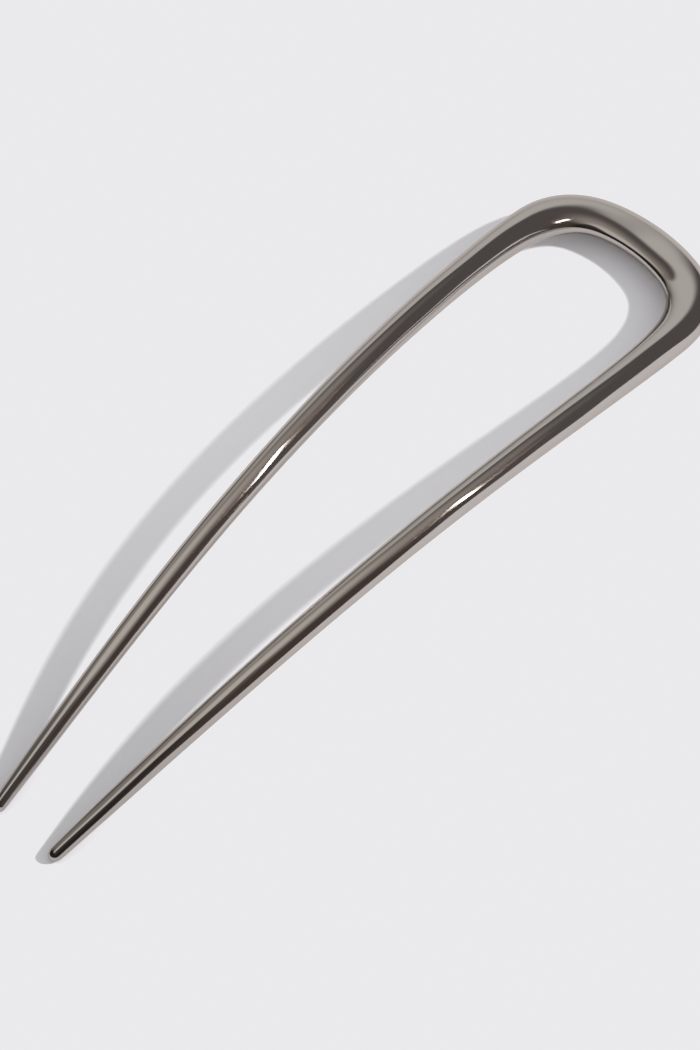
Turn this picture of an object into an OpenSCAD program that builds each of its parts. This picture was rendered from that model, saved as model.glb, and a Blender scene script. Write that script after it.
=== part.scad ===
// French hair pin: one cast piece of metal, a bow with two prongs, arched so that it follows the head

/* [Size] */
// Length of the pin over all, from the bow to the tips
pin_length = 130; // [110:1:150]
// Width of the pin over all, across the bow
pin_width = 32.5; // [28:0.1:38]
// Distance between the centres of the two tips
tip_gap = 10.4; // [8:0.1:14]
// Height of the arch, from the line between the two ends up to the middle of the prongs
arch_rise = 10; // [4:0.5:16]

/* [Metal] */
// Width of the metal in the bow, across its broad side
bow_w = 7.6; // [5:0.1:8.4]
// Thickness of the metal in the bow, before its top is flattened
bow_t = 4.9; // [3.5:0.1:6]
// How much of that thickness the flattened top leaves out
bow_flat = 1.2; // [0:0.1:1.4]
// Distance of the middle of the bow's metal outwards from the centre line
bow_out = 0.3; // [0:0.1:0.8]
// Lean of the bow's broad side, down towards its outer edge, in degrees
bow_lean = 7.5; // [0:0.5:16]
// Width of a prong where it leaves the bow
prong_w = 4.8; // [3.6:0.1:5.6]
// Width of a prong where its round tip starts
tip_w = 2; // [1.4:0.1:3]
// Thickness of a prong as a share of its width
prong_depth = 1.1; // [0.8:0.02:1.2]

/* [Hidden] */

// Corners of each oval section
corners = 28;
// Columns of the table below
ALONG = 0;
BEND = 1;
BOW = 2;
TAPER = 3;
// Half of the pin from the middle of its bow to the start of a tip, a row for each main section.
// The columns are the distance along the centre line in mm, the turn of that line in degrees per
// mm, how much of the bow's section there is, and how much wider than its tip the prong is there
ROWS = [
    [0, 2.8, 1, 1],
    [5, 2.6, 0.95, 1],
    [9, 6.8, 0.87, 1],
    [13, 5.4, 0.68, 1],
    [17, 3.8, 0.44, 1],
    [22, 0.9, 0.12, 1],
    [30, 0.2, 0, 0.93],
    [48, 0.06, 0, 0.77],
    [75, 0.04, 0, 0.6],
    [100, 0.04, 0, 0.45],
    [122, 0, 0, 0.22],
    [134, 0, 0, 0]
];
last = len(ROWS) - 1;

// Reach of the round tip past the last row
tip_reach = 0.6 * tip_w;
// Sections stand close together in the bow, further apart along the prong and close in the tip
bow_stations = [for (s = [0 : 1 : 29]) s];
prong_stations = [for (s = [30 : 2.6 : ROWS[last][ALONG] - 1]) s];
tip_stations = [for (a = [0 : 15 : 75]) ROWS[last][ALONG] + tip_reach * sin(a)];
stations = concat(bow_stations, prong_stations, tip_stations);

// Value of a column at the distance s, straight from row to row
function straight(s, column) = lookup(s, [for (row = ROWS) [row[ALONG], row[column]]]);

// Slope of a column at row i, level in the middle of the bow, where the two halves meet
function slope(i, column) =
    let (
        before = ROWS[max(i - 1, 0)],
        after = ROWS[min(i + 1, last)]
    )
    i == 0 ? 0 : (after[column] - before[column]) / (after[ALONG] - before[ALONG]);

// Value of a column at the distance s, on a smooth curve through the rows
function smooth(s, column) =
    let (
        i = max([for (k = [0 : last - 1]) if (ROWS[k][ALONG] <= s) k]),
        gap = ROWS[i + 1][ALONG] - ROWS[i][ALONG],
        t = min(1, (s - ROWS[i][ALONG]) / gap),
        ease = t * t * (3 - 2 * t)
    )
    ROWS[i][column] * (1 - ease) + ROWS[i + 1][column] * ease
    + gap * t * (1 - t) * (slope(i, column) * (1 - t) - slope(i + 1, column) * t);

// How far the metal reaches from its middle at the distance s, as [to each side, up, down].
// It closes to nothing in the round tip
function metal(s) =
    let (
        bow = smooth(s, BOW),
        prong = (tip_w + (prong_w - tip_w) * smooth(s, TAPER)) / 2,
        past = max(0, s - ROWS[last][ALONG]) / tip_reach,
        in_bow = bow * [bow_w, bow_t, bow_t] / 2 - bow * bow * [0, bow_flat, 0],
        in_prong = (1 - bow) * prong * [1, prong_depth, prong_depth]
    )
    sqrt(1 - past * past) * (in_bow + in_prong);

// Half of the centre line seen from above, as points from station i on
function walk(i, at, heading) =
    i == len(stations) - 1 ? [at] :
    let (
        s = stations[i],
        gap = stations[i + 1] - s,
        middle = heading + straight(s + gap / 4, BEND) * gap / 2,
        turned = heading + straight(s + gap / 2, BEND) * gap
    )
    concat([at], walk(i + 1, at + gap * [-sin(middle), cos(middle)], turned));

plan = walk(0, [0, 0], 0);
plan_reach = -plan[len(plan) - 1].x;
plan_half = max([for (p = plan) p.y]);

// The line is stretched until the pin has its length and width, and its ends drawn in to the gap
end_tilt = atan(arch_rise * PI / pin_length);
bow_tilt = end_tilt + bow_lean;
bow_reach = norm([bow_w / 2 * cos(bow_tilt), (bow_t / 2 - bow_flat) * sin(bow_tilt)]);
line_reach = pin_length - bow_out * cos(bow_tilt) - bow_reach;
line_half = (pin_width - prong_w) / 2;
splay = tip_gap / 2 - plan[len(plan) - 1].y / plan_half * line_half;

// The bow is thicker than a tip, so its centre lies higher where both touch the table
bow_depth = norm([bow_w / 2 * sin(bow_tilt), bow_t / 2 * cos(bow_tilt)]);
bow_low = bow_out * sin(bow_tilt) + bow_depth;
tip_low = tip_w * prong_depth / 2 - tip_reach * sin(end_tilt);
drop = bow_low - tip_low;

// The arch is half a sine wave from the bow to the tips
function height(share) = arch_rise * sin(180 * share) - drop * share;
function steepness(share) = (drop - arch_rise * PI * cos(180 * share)) / line_reach;

// Centre of the section at station i, with both halves of the pin numbered from the bow
function centre(i) =
    let (
        p = plan[abs(i)],
        share = -p.x / plan_reach,
        aside = p.y / plan_half * line_half + splay * share * share
    )
    [-share * line_reach, sign(i) * aside, height(share)];

// Corners of the section at station i, square to the centre line and leaning outwards in the bow
function section(i) =
    let (
        at = centre(i),
        ahead = centre(min(i + 1, len(plan) - 1)) - centre(max(i - 1, 1 - len(plan))),
        lift = [-steepness(-at.x / line_reach), 0, 1],
        up = lift / norm(lift),
        out = cross(ahead, up) / norm(cross(ahead, up)),
        bow = smooth(stations[abs(i)], BOW),
        lean = bow_lean * bow * bow,
        broad = out * cos(lean) - up * sin(lean),
        top = up * cos(lean) + out * sin(lean),
        size = metal(stations[abs(i)])
    )
    [
        for (k = [0 : corners - 1])
            let (
                a = k * 360 / corners,
                aside = bow_out * bow + size[0] * cos(a),
                raised = (a < 180 ? size[1] : size[2]) * sin(a)
            )
            at + broad * aside + top * raised
    ];

// All sections from the tip of one prong round the bow to the other tip
rings = [for (i = [1 - len(plan) : len(plan) - 1]) section(i)];
points = [for (ring = rings) each ring];
xs = [for (p = points) p.x];
zs = [for (p = points) p.z];
ends = [
    [for (a = [corners - 1 : -1 : 0]) a],
    [for (a = [0 : corners - 1]) (len(rings) - 1) * corners + a]
];
sides = [
    for (i = [0 : len(rings) - 2], a = [0 : corners - 1])
        let (b = (a + 1) % corners)
        [i * corners + a, i * corners + b, (i + 1) * corners + b, (i + 1) * corners + a]
];

// The pin as it lies: bow and tips on the table, the prongs' arch over it
module pin() {
    color("#6e6a66")
        translate([-(min(xs) + max(xs)) / 2, 0, -min(zs)])
            polyhedron(points, concat(ends, sides), convexity = 6);
}

pin();
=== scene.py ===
# %% [markdown]
# # A french hair pin in polished gunmetal plating
#
# The real pin is cast in one piece: a broad bow that runs over into two prongs. It is arched, so that
# it follows the head, then polished by hand and plated. A mirror finish shows every flat spot, so the
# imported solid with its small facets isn't good enough to look at. This lesson sweeps a ring along the
# same line as the solid does, smooths it, and gives it the plating and the studio that it mirrors.

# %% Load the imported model, which every piece has to fit
import math

import bmesh
import bpy
from mathutils import Matrix, Vector


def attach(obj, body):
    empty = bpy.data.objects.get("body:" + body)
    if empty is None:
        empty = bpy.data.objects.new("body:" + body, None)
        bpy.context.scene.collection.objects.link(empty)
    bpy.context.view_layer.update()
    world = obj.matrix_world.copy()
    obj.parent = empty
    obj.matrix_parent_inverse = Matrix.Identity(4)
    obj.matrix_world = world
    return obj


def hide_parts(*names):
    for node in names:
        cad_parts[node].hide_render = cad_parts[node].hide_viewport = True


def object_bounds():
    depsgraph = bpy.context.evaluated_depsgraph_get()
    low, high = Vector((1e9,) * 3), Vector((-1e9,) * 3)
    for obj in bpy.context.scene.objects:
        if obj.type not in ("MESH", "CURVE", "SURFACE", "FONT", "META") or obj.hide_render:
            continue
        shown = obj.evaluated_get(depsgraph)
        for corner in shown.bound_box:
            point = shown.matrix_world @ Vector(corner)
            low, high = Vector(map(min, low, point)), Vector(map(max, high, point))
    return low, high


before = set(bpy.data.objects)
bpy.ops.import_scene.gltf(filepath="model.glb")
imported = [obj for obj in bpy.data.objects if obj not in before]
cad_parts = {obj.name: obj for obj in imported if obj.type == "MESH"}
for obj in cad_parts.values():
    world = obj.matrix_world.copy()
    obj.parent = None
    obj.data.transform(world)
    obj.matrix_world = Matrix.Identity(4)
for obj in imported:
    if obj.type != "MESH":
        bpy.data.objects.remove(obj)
cad_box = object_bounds()
MM = 0.001
print("CAD box in mm:", [[round(v / MM, 2) for v in corner] for corner in cad_box])

# %% [markdown]
# ## The camera
#
# The photograph looks down steeply on the pin, with its tips towards the lower left. The long lens
# hardly shows any perspective. The camera stands on a line from the point that it looks at, given by
# its angle round the pin and its angle above the table, so each of these can be changed alone.

# %% Place the camera
CAMERA_AROUND = math.radians(-47.07)
CAMERA_ABOVE = math.radians(60.27)
CAMERA_AWAY = 579.6 * MM
LOOKS_AT = Vector((-0.5, 0.73, 0)) * MM


def direction(around, above):
    """Unit vector that points away from the pin, at an angle round it and an angle above the table."""
    flat = Vector((math.sin(around), -math.cos(around), 0)) * math.cos(above)
    return flat + Vector((0, 0, math.sin(above)))


to_camera = direction(CAMERA_AROUND, CAMERA_ABOVE)
camera_data = bpy.data.cameras.new("camera")
camera_data.lens = 144
camera_data.sensor_width = 36
camera_data.clip_start = 0.05
camera_data.clip_end = 20
camera = bpy.data.objects.new("camera", camera_data)
camera.location = LOOKS_AT + to_camera * CAMERA_AWAY
camera.rotation_mode = "QUATERNION"
camera.rotation_quaternion = (-to_camera).to_track_quat("-Z", "Y")
bpy.context.scene.collection.objects.link(camera)
bpy.context.scene.camera = camera
print("camera at", [round(v, 3) for v in camera.location])

# %% [markdown]
# ## The sizes
#
# A pin like this is drawn from a few sizes: how long and wide it is, how far its tips stand apart,
# how high it arches, and how thick the metal is in the bow, in a prong and at a tip. The bow's top is
# flattened, and it isn't level but leans outwards, which gives a hand that pushes the pin home a slope
# to rest on. They are the sizes of the solid model, in millimetres.

# %% Sizes of the pin in millimetres
PIN_LENGTH = 130
PIN_WIDTH = 32.5
TIP_GAP = 10.4
ARCH_RISE = 10
BOW_W = 7.6
BOW_T = 4.9
BOW_FLAT = 1.2
BOW_OUT = 0.3
BOW_LEAN = math.radians(7.5)
PRONG_W = 4.8
TIP_W = 2
PRONG_DEPTH = 1.1
TIP_REACH = 0.6 * TIP_W
print("pin of", PIN_LENGTH, "x", PIN_WIDTH, "mm")

# %% [markdown]
# ## The line down the middle of the metal
#
# Seen from above, half of the pin is one line from the middle of the bow to a tip. It could be drawn
# as a spline with handles, but its bend is easier to judge as numbers: the line turns by so many
# degrees in each millimetre, most at the corner of the bow and hardly at all in the prong. Walking
# along it and turning as the table says gives the line. The same table says how far the bow's broad
# section has gone over into the prong's, and how the prong gets thinner.

# %% The table, with a row for each main section
ALONG, BEND, BOW, TAPER = range(4)
ROWS = (
    (0, 2.8, 1, 1),
    (5, 2.6, 0.95, 1),
    (9, 6.8, 0.87, 1),
    (13, 5.4, 0.68, 1),
    (17, 3.8, 0.44, 1),
    (22, 0.9, 0.12, 1),
    (30, 0.2, 0, 0.93),
    (48, 0.06, 0, 0.77),
    (75, 0.04, 0, 0.6),
    (100, 0.04, 0, 0.45),
    (122, 0, 0, 0.22),
    (134, 0, 0, 0),
)
LAST = len(ROWS) - 1


def row_before(s):
    """Number of the row that the distance s follows, and how far it is on the way to the next."""
    i = max(k for k in range(LAST) if ROWS[k][ALONG] <= s)
    return i, min(1, (s - ROWS[i][ALONG]) / (ROWS[i + 1][ALONG] - ROWS[i][ALONG]))


def straight(s, column):
    """Value of a column at the distance s, straight from row to row."""
    i, t = row_before(s)
    return ROWS[i][column] * (1 - t) + ROWS[i + 1][column] * t


def slope(i, column):
    """Slope of a column at row i, level in the middle of the bow, where the two halves meet."""
    if i == 0:
        return 0
    before, after = ROWS[i - 1], ROWS[min(i + 1, LAST)]
    return (after[column] - before[column]) / (after[ALONG] - before[ALONG])


def smooth(s, column):
    """Value of a column at the distance s, on a smooth curve through the rows."""
    i, t = row_before(s)
    gap = ROWS[i + 1][ALONG] - ROWS[i][ALONG]
    ease = t * t * (3 - 2 * t)
    bulge = gap * t * (1 - t) * (slope(i, column) * (1 - t) - slope(i + 1, column) * t)
    return ROWS[i][column] * (1 - ease) + ROWS[i + 1][column] * ease + bulge


print("half of the line is", ROWS[LAST][ALONG], "mm long, in", len(ROWS), "rows")

# %% Walk along the line, with short steps in the bow and at the tip
PRONG_FROM = 30
PRONG_STEP = 2.6
TIP_FROM = ROWS[LAST][ALONG]
prong_steps = math.ceil((TIP_FROM - 1 - PRONG_FROM) / PRONG_STEP)
bow_stops = [float(s) for s in range(PRONG_FROM)]
prong_stops = [PRONG_FROM + PRONG_STEP * k for k in range(prong_steps)]
tip_stops = [TIP_FROM + TIP_REACH * math.sin(math.radians(a)) for a in range(0, 90, 15)]
stops = bow_stops + prong_stops + tip_stops

plan = [Vector((0, 0))]
heading = 0
for s, following in zip(stops, stops[1:]):
    step = following - s
    middle = math.radians(heading + straight(s + step / 4, BEND) * step / 2)
    heading += straight(s + step / 2, BEND) * step
    plan.append(plan[-1] + step * Vector((-math.sin(middle), math.cos(middle))))
print(len(stops), "stops; the line turns by", round(heading, 1), "degrees")

# %% [markdown]
# ## The arch
#
# On the table the pin rests on its bow and its tips, and its prongs rise between them in half a wave.
# The bow is thicker than a tip, so its middle lies a little higher, and the line drops by that much
# from one end to the other. The line is also stretched to the full length and width here.

# %% Lift the line into its arch
plan_reach = -plan[-1].x
plan_half = max(p.y for p in plan)
end_tilt = math.atan(ARCH_RISE * math.pi / PIN_LENGTH)
bow_tilt = end_tilt + BOW_LEAN
bow_reach = math.hypot(BOW_W / 2 * math.cos(bow_tilt), (BOW_T / 2 - BOW_FLAT) * math.sin(bow_tilt))
line_reach = PIN_LENGTH - BOW_OUT * math.cos(bow_tilt) - bow_reach
line_half = (PIN_WIDTH - PRONG_W) / 2
splay = TIP_GAP / 2 - plan[-1].y / plan_half * line_half
bow_depth = math.hypot(BOW_W / 2 * math.sin(bow_tilt), BOW_T / 2 * math.cos(bow_tilt))
bow_low = BOW_OUT * math.sin(bow_tilt) + bow_depth
tip_low = TIP_W * PRONG_DEPTH / 2 - TIP_REACH * math.sin(end_tilt)
drop = bow_low - tip_low
print("the line drops by", round(drop, 2), "mm over", round(line_reach, 1), "mm")


def centre(i):
    """Centre of the section at stop i in mm, with both halves numbered from the middle of the bow."""
    p = plan[abs(i)]
    share = -p.x / plan_reach
    aside = p.y / plan_half * line_half + splay * share * share
    height = ARCH_RISE * math.sin(math.pi * share) - drop * share
    return Vector((-share * line_reach, math.copysign(aside, i), height))


def steepness(at):
    """How steeply the arch falls towards the bow at a point of the line."""
    share = -at.x / line_reach
    return (drop - ARCH_RISE * math.pi * math.cos(math.pi * share)) / line_reach


def metal(s):
    """How far the metal reaches from its middle at the distance s, to each side, up and down."""
    bow = smooth(s, BOW)
    prong = (TIP_W + (PRONG_W - TIP_W) * smooth(s, TAPER)) / 2
    past = max(0, s - TIP_FROM) / TIP_REACH
    close = math.sqrt(1 - past * past)
    aside = close * (bow * BOW_W / 2 + (1 - bow) * prong)
    down = close * (bow * BOW_T / 2 + (1 - bow) * prong * PRONG_DEPTH)
    return aside, down - close * bow * bow * BOW_FLAT, down


# %% [markdown]
# ## The sweep
#
# Each section is an oval, square to the line, with a flatter upper half in the bow. bmesh makes a round
# ring for each stop, its upper half is pressed down, and a matrix stretches it to the oval and turns
# it to the line. Bridging one ring to the next makes the skin. A curve with a bevel object would do
# this too, but it can't change its oval into another on the way. The skin is smoothed by a Subdivision
# Surface later, which pulls a ring of few corners in a little, so the rings are made that much larger.

# %% Sweep the rings along the line
CORNERS = 28
SMOOTHING_PULL = (2 + math.cos(2 * math.pi / CORNERS)) / 3


def ring_place(i, aside, down):
    """Turn and place of the section at stop i, for a unit circle with its first corner underneath."""
    at = centre(i)
    last = len(plan) - 1
    ahead = centre(min(i + 1, last)) - centre(max(i - 1, -last))
    up = Vector((-steepness(at), 0, 1)).normalized()
    out = ahead.cross(up).normalized()
    bow = smooth(stops[abs(i)], BOW)
    lean = BOW_LEAN * bow * bow
    across = out * math.cos(lean) - up * math.sin(lean)
    under = -up * math.cos(lean) - out * math.sin(lean)
    axes = (across * aside / SMOOTHING_PULL, under * down / SMOOTHING_PULL, ahead.normalized())
    return Matrix(axes).transposed(), at + across * BOW_OUT * bow


bm = bmesh.new()
rings = []
for i in range(1 - len(plan), len(plan)):
    aside, up, down = metal(stops[abs(i)])
    turn, at = ring_place(i, aside, down)
    made = bmesh.ops.create_circle(bm, segments=CORNERS, radius=1)
    upper_half = [v for v in made["verts"] if v.co.y < 0]
    bmesh.ops.scale(bm, vec=(1, up / down, 1), verts=upper_half)
    bmesh.ops.transform(bm, matrix=turn.to_4x4(), verts=made["verts"])
    bmesh.ops.translate(bm, vec=at, verts=made["verts"])
    rings.append(made["verts"])


def ring_edges(ring):
    """Edges of one ring."""
    return [e for e in {e for v in ring for e in v.link_edges} if all(v in ring for v in e.verts)]


loops = [ring_edges(ring) for ring in rings]
for here, there in zip(loops, loops[1:]):
    bmesh.ops.bridge_loops(bm, edges=here + there)
print(len(rings), "rings,", len(bm.faces), "faces")

# %% [markdown]
# ## The tips
#
# A blunt round tip keeps the pin from scratching the scalp. The last rings already close in as on a
# ball. The small hole that is left gets one face, and poking it gives that face a middle corner in its
# centre.

# %% Close both tips
for loop in (loops[0], loops[-1]):
    cap = bmesh.ops.edgeloop_fill(bm, edges=loop)["faces"]
    bmesh.ops.poke(bm, faces=cap)
bmesh.ops.recalc_face_normals(bm, faces=bm.faces)
print("open edges:", sum(1 for e in bm.edges if not e.is_manifold))

# %% [markdown]
# ## A map of the skin
#
# A polisher draws the pin lengthwise over the wheel, so the finest marks run along it and turn with it
# in the bow. For that the skin gets a UV map: U goes once round the section, from underneath, and V
# runs from one tip to the other. The pattern of the finish reads this map.

# %% Lay the UV map over the skin
skin_map = bm.loops.layers.uv.new("skin")
place = {v: (i, k) for i, ring in enumerate(rings) for k, v in enumerate(ring)}
whole = 2 * stops[-1]
for face in bm.faces:
    known = [place[v] for v in face.verts if v in place]
    over_seam = {0, CORNERS - 1} <= {k for _, k in known} and len(face.verts) == 4
    for loop in face.loops:
        i, k = place.get(loop.vert, (known[0][0], CORNERS / 2))
        round_it = CORNERS if over_seam and k == 0 else k
        s = stops[abs(i - len(plan) + 1)]
        from_tip = (stops[-1] + math.copysign(s, i - len(plan) + 1)) / whole
        loop[skin_map].uv = (round_it / CORNERS, from_tip)

# %% [markdown]
# ## The piece
#
# So far all is in millimetres, while Blender and the imported model count in metres. The mesh is scaled,
# smoothed, and moved so that its box lies on the imported model's box. The last lines say which body the
# piece rides on, and hide the imported solid that it stands for.

# %% Make the piece, resting on the table with its box in the middle
bmesh.ops.scale(bm, vec=Vector((MM, MM, MM)), verts=bm.verts)
mesh = bpy.data.meshes.new("polished_pin")
bm.to_mesh(mesh)
bm.free()
mesh.shade_smooth()
pin = bpy.data.objects.new("polished_pin", mesh)
bpy.context.scene.collection.objects.link(pin)
smoother = pin.modifiers.new("smooth", "SUBSURF")
SMOOTHING = 2
smoother.levels = SMOOTHING
smoother.render_levels = SMOOTHING


def smoothed_box(piece):
    """Lowest and highest corner of a piece with its modifiers."""
    seen = piece.evaluated_get(bpy.context.evaluated_depsgraph_get()).to_mesh()
    spots = [v.co for v in seen.vertices]
    low = Vector([min(co[a] for co in spots) for a in range(3)])
    high = Vector([max(co[a] for co in spots) for a in range(3)])
    return low, high


low, high = smoothed_box(pin)
cad_low, cad_high = cad_box
shift = (cad_low + cad_high - low - high) / 2
shift.z = cad_low.z - low.z
mesh.transform(Matrix.Translation(shift))
print("smoothed size in mm:", [round(v / MM, 2) for v in high - low])

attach(pin, "root")
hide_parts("pin")

# %% [markdown]
# ## A few helpers for materials
#
# Colours are easiest to read as the hex values of a paint chart, and shaders need them linear. Nodes
# are all added in the same way: make one, set it, and fill its inputs with numbers or with links. The
# three kinds that are used most get a function of their own: noise, a smooth fade, and one colour laid
# over another. A socket knows its node tree as id_data, so they needn't be told which tree it is.


# %% Helpers for colours and nodes
def colour(hex_value):
    """Linear colour with alpha from an sRGB hex value such as aaa29c."""
    parts = [int(hex_value[i : i + 2], 16) / 255 for i in (0, 2, 4)]
    return tuple(c / 12.92 if c <= 0.04045 else ((c + 0.055) / 1.055) ** 2.4 for c in parts) + (1,)


def add(tree, kind, settings, inputs):
    """Adds a node, with its settings, and with its inputs as values or as links from sockets."""
    node = tree.nodes.new(kind)
    for name, value in settings.items():
        setattr(node, name, value)
    for name, value in inputs.items():
        if isinstance(value, bpy.types.NodeSocket):
            tree.links.new(value, node.inputs[name])
        else:
            node.inputs[name].default_value = value
    return node


def noise(vector, scale, detail):
    """Noise between 0 and 1, with so many cells to each unit of the vector."""
    inputs = {"Vector": vector, "Scale": scale, "Detail": detail}
    return add(vector.id_data, "ShaderNodeTexNoise", {}, inputs).outputs["Fac"]


def fade(value, start, end):
    """Goes smoothly from 0 to 1 while the value goes from start to end."""
    settings = {"interpolation_type": "SMOOTHSTEP"}
    limits = {"Value": value, "From Min": start, "From Max": end}
    return add(value.id_data, "ShaderNodeMapRange", settings, limits).outputs["Result"]


def cover(under, over, factor):
    """Lays one colour over another by a factor. The node's colours are at 6 and 7, its result at 2."""
    inputs = {"Factor": factor, 6: under, 7: over}
    return add(factor.id_data, "ShaderNodeMix", {"data_type": "RGBA"}, inputs).outputs[2]


# %% [markdown]
# ## The plating
#
# Gunmetal plating is a thin dark layer of nickel and tin, laid over polished zinc. It mirrors like
# chrome but gives back only about two fifths of the light, a little more of the red than of the blue,
# so the eye reads it as a warm dark grey. What makes it look real is what is left of the work on it:
# marks of the polishing wheel along the pin, which spread a highlight crosswise, skin that isn't quite
# even, and a faint haze where fingers hold it. Seen at a grazing angle this layer stays a little darker
# than bare chrome would, which draws a soft line along both edges of the prongs.

# %% Gunmetal plating
plating = bpy.data.materials.new("gunmetal_plating")
plating.use_nodes = True
tree = plating.node_tree
tree.nodes.clear()
output = add(tree, "ShaderNodeOutputMaterial", {}, {})
spot = add(tree, "ShaderNodeTexCoord", {}, {}).outputs["Object"]
skin = add(tree, "ShaderNodeUVMap", {"uv_map": "skin"}, {}).outputs["UV"]

# The layer is a little thicker in places, which turns its grey slightly, over 20 to 30 mm
thickness = noise(spot, 40, 1)
tint = cover(colour("aca49e"), colour("a8a4a1"), thickness)

# Haze from handling, in patches of about 8 mm
haze = noise(spot, 120, 4)
limits = {"Value": haze, "From Min": 0.35, "From Max": 0.7, "To Min": 0.08, "To Max": 0.11}
roughness = add(tree, "ShaderNodeMapRange", {}, limits).outputs["Result"]
print("tint and haze have", len(tree.nodes), "nodes")

# %% [markdown]
# ## Marks and waves of the polishing
#
# Both patterns are noise that is drawn out along the pin. The map of the skin runs from 0 to 1 once
# round the section, which is 7 mm at a tip and 18 mm in the bow, and once from tip to tip, which is
# 270 mm. So each scale is the number of cells round the pin and along it. The marks run along the pin,
# which spreads the highlight across it: that is the anisotropy, and its tangent goes round the pin.
# The specular tint is the share of the light that the plating still mirrors at a grazing angle.


# %% Polish the skin
def drawn_out(cells_round, cells_along, detail):
    """Noise on the map of the skin, with so many cells round the pin and along it."""
    inputs = {"Vector": skin, "Scale": (cells_round, cells_along, 1)}
    return noise(add(tree, "ShaderNodeMapping", {}, inputs).outputs["Vector"], 1, detail)


# Marks of the wheel are 8 mm long, and 0.13 mm apart at a tip to 0.37 mm in the bow. Real ones are finer
marks = drawn_out(50, 34, 1)
# Waves that the polisher's hand leaves are 2 to 5 mm across and 13 mm along the pin
waves = drawn_out(4, 21, 0)
relief = {"Strength": 1, "Distance": 0.2 * MM, "Height": waves}
waved = add(tree, "ShaderNodeBump", {}, relief).outputs["Normal"]
relief = {"Strength": 1, "Distance": 0.001 * MM, "Height": marks, "Normal": waved}
brushed = add(tree, "ShaderNodeBump", {}, relief).outputs["Normal"]

crosswise = add(tree, "ShaderNodeTangent", {"direction_type": "UV_MAP", "uv_map": "skin"}, {})
shader = add(
    tree,
    "ShaderNodeBsdfPrincipled",
    {},
    {
        "Base Color": tint,
        "Metallic": 1,
        "Roughness": roughness,
        "Specular Tint": colour("e6e1dd"),
        "Anisotropic": 0.6,
        "Tangent": crosswise.outputs["Tangent"],
        "Normal": brushed,
    },
)
tree.links.new(shader.outputs["BSDF"], output.inputs["Surface"])
mesh.materials.append(plating)
print("plating has", len(tree.nodes), "nodes")

# %% [markdown]
# ## The paper
#
# The photograph shows one pale, even surface with no grain. A large sheet of matt paper does that. It
# runs 6 m to each side, so that its edge only shows in a view from almost the height of the table.

# %% Pale paper under the pin
bm = bmesh.new()
PAPER_HALF = 6
bmesh.ops.create_grid(bm, x_segments=1, y_segments=1, size=PAPER_HALF)
paper_mesh = bpy.data.meshes.new("paper")
bm.to_mesh(paper_mesh)
bm.free()
paper = bpy.data.objects.new("paper", paper_mesh)
bpy.context.scene.collection.objects.link(paper)
paper_material = bpy.data.materials.new("matt_paper")
paper_material.use_nodes = True
matt = paper_material.node_tree.nodes["Principled BSDF"]
matt.inputs["Roughness"].default_value = 1
matt.inputs["Specular IOR Level"].default_value = 0

# Painted shade: the paper's colour is darker behind the pin, where the light falls off, which the far
# side
# of the prongs mirrors: 20 to 140 mm away
tree = paper_material.node_tree
here = add(tree, "ShaderNodeTexCoord", {}, {}).outputs["Object"]
away = {0: here, 1: direction(CAMERA_AROUND + math.pi, 0)}
behind = add(tree, "ShaderNodeVectorMath", {"operation": "DOT_PRODUCT"}, away).outputs["Value"]
sheet = cover(colour("edecee"), colour("d0cfd1"), fade(behind, 20 * MM, 140 * MM))
# Painted shade: the paper's colour is a little darker towards the tips too, where the light falls off
length = add(tree, "ShaderNodeSeparateXYZ", {}, {"Vector": here}).outputs["X"]
sheet = cover(sheet, colour("d9d8da"), fade(length, 10 * MM, -70 * MM))
tree.links.new(sheet, matt.inputs["Base Color"])
paper_mesh.materials.append(paper_material)
print("paper is", 2 * PAPER_HALF, "m wide")

# %% [markdown]
# ## The studio
#
# A mirror shows the room more than itself, so the room is most of the look. The bands on the pin tell
# what stood round it: pale paper that curves up behind the pin, a pale ceiling, and a dark room on the
# camera's side. The world shader paints these by direction, each over the one before. A fade between
# two values gives each part its edge, sharp or soft, and two fades multiplied give it a corner.

# %% Start the room, with helpers that measure directions
world = bpy.data.worlds.new("studio")
bpy.context.scene.world = world
world.use_nodes = True
tree = world.node_tree
tree.nodes.clear()
look = add(tree, "ShaderNodeTexCoord", {}, {}).outputs["Generated"]
parts = add(tree, "ShaderNodeSeparateXYZ", {}, {"Vector": look}).outputs
along, above = parts["X"], parts["Z"]


def measured_along(axis):
    """How far a direction reaches along an axis."""
    inputs = {0: look, 1: axis}
    return add(tree, "ShaderNodeVectorMath", {"operation": "DOT_PRODUCT"}, inputs).outputs["Value"]


def towards(around, height):
    """How nearly a direction points the same way as the one at two angles in degrees, from -1 to 1."""
    return measured_along(direction(math.radians(around), math.radians(height)))


def both(a, b):
    """Product of two factors."""
    return add(tree, "ShaderNodeMath", {"operation": "MULTIPLY"}, {0: a, 1: b}).outputs["Value"]


# %% Paint the room, each part over the one before
# The camera's side of the room is dark, and darker low beside the camera
room = cover(colour("706b6b"), colour("5e5450"), fade(towards(-28, 13), 0.6, 0.8))
# A wall shows over the paper, far to the left
room = cover(room, colour("ada79f"), fade(towards(190, 44), 0.75, 1))
# The ceiling gets paler from 43 degrees up, and most where a lamp that points up lights it
room = cover(room, colour("c9c4bd"), fade(above, 0.68, 1))
room = cover(room, colour("fbfaf6"), fade(towards(255, 67), 0.74, 0.95))
# The room past the tips is the darkest: it draws the dark line along the bow's inner edge
room = cover(room, colour("322d2a"), both(fade(along, -0.08, -0.3), fade(above, 0.92, 0.82)))
# The paper sweeps up behind the pin: it ends sharply on the right, is brightest near there and fades
# to the left, and its upper edge sinks to the right
right_end = fade(towards(190, 0), 0.03, 0.2)
reach = both(right_end, fade(towards(120, 30), 0.53, 1))
upper_edge = fade(measured_along((0.2, 0, 1)), 0.79, 0.71)
room = cover(room, colour("f6f7f5"), both(reach, upper_edge))
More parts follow.
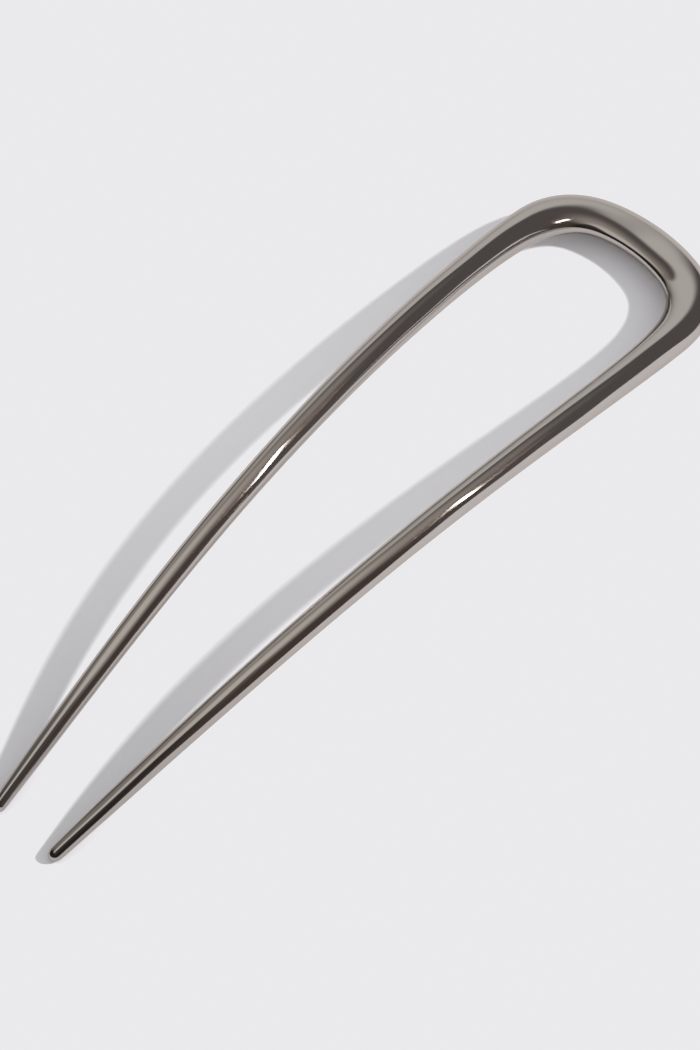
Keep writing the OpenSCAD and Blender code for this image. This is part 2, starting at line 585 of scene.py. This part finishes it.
# The camera and its stand
room = cover(room, colour("4a4644"), fade(towards(-45, 56), 0.91, 0.975))
# The lamp's shade glows round its bright tube, which is narrow along the pin and long across it
room = cover(room, colour("a8968c"), fade(towards(32, 44), 0.977, 0.995))
tube = both(fade(along, 0.345, 0.355), fade(along, 0.386, 0.376))
tube = both(tube, fade(towards(30.5, 43.5), 0.982, 0.988))
# It is 30 times as bright as white paper, and slightly warm
TUBE_LIGHT = (30, 28.5, 27, 1)
room = cover(room, TUBE_LIGHT, tube)
print("room has", len(tree.nodes), "nodes")

# %% [markdown]
# ## Who sees the room
#
# Only the mirror sees the painted room. All other rays get an even soft light instead, which keeps the
# paper free of stains, and the camera sees the paper's tone beyond the paper's edge.

# %% Show the room to the mirror only
rays = add(tree, "ShaderNodeLightPath", {}, {}).outputs
soft = add(tree, "ShaderNodeBackground", {}, {"Color": colour("e1e1e2"), "Strength": 1})
plain = add(tree, "ShaderNodeBackground", {}, {"Color": colour("eaeaec"), "Strength": 1})
lit = add(tree, "ShaderNodeBackground", {}, {"Color": room, "Strength": 1})
mixed = add(
    tree,
    "ShaderNodeMixShader",
    {},
    {"Fac": rays["Is Camera Ray"], 1: soft.outputs["Background"], 2: plain.outputs["Background"]},
)
mixed = add(
    tree,
    "ShaderNodeMixShader",
    {},
    {"Fac": rays["Is Glossy Ray"], 1: mixed.outputs["Shader"], 2: lit.outputs["Background"]},
)
add(tree, "ShaderNodeOutputWorld", {}, {"Surface": mixed.outputs["Shader"]})
print("world has", len(tree.nodes), "nodes")

# %% [markdown]
# ## The lamp
#
# One small soft lamp throws the shadow to the upper left. Its direction follows from where the shadow
# falls. A Sun is used, because its rays are the same all over the pin, and its angle of 4.5 degrees
# makes the shadow's edge as soft as in the photograph. The three hot spots are longer than a round lamp
# gives, so the mirror sees the tube that is painted into the studio instead of the Sun.

# %% Set the lamp
LAMP_AROUND = 42
LAMP_ABOVE = 41.5
lamp_data = bpy.data.lights.new("lamp", "SUN")
lamp_data.energy = 3
lamp_data.angle = math.radians(4.5)
lamp = bpy.data.objects.new("lamp", lamp_data)
to_lamp = direction(math.radians(LAMP_AROUND), math.radians(LAMP_ABOVE))
lamp.location = to_lamp
lamp.rotation_mode = "QUATERNION"
lamp.rotation_quaternion = to_lamp.to_track_quat("Z", "Y")
lamp.visible_glossy = False
bpy.context.scene.collection.objects.link(lamp)
print("lamp shines from", [round(v, 2) for v in to_lamp])

# %% [markdown]
# ## Even paper
#
# A shop wants plain paper without a shade on it. The exposure lets all lit paper run over into white,
# and that white is then toned down to a pale grey, so only the shadows stay darker than it. The view's
# curves do the same here: each colour runs straight up to the tone of the paper, stays level there, and
# goes on to full white for the hot spots.

# %% Tone the paper with the view's curves
view = bpy.context.scene.view_settings
view.view_transform = "Standard"
view.use_curve_mapping = True
curves = view.curve_mapping
PAPER_TONE = colour("eaeaec")
LEVEL_TO = 1.6
WHITE_AT = 2.4
curves.clip_max_x = WHITE_AT
for curve, tone in zip(curves.curves, PAPER_TONE):
    start, end = curve.points
    end.location = (WHITE_AT, 1)
    for level in (tone, LEVEL_TO):
        curve.points.new(level, tone)
    for point in curve.points:
        point.handle_type = "VECTOR"
curves.update()
print("tone stays level up to", LEVEL_TO)
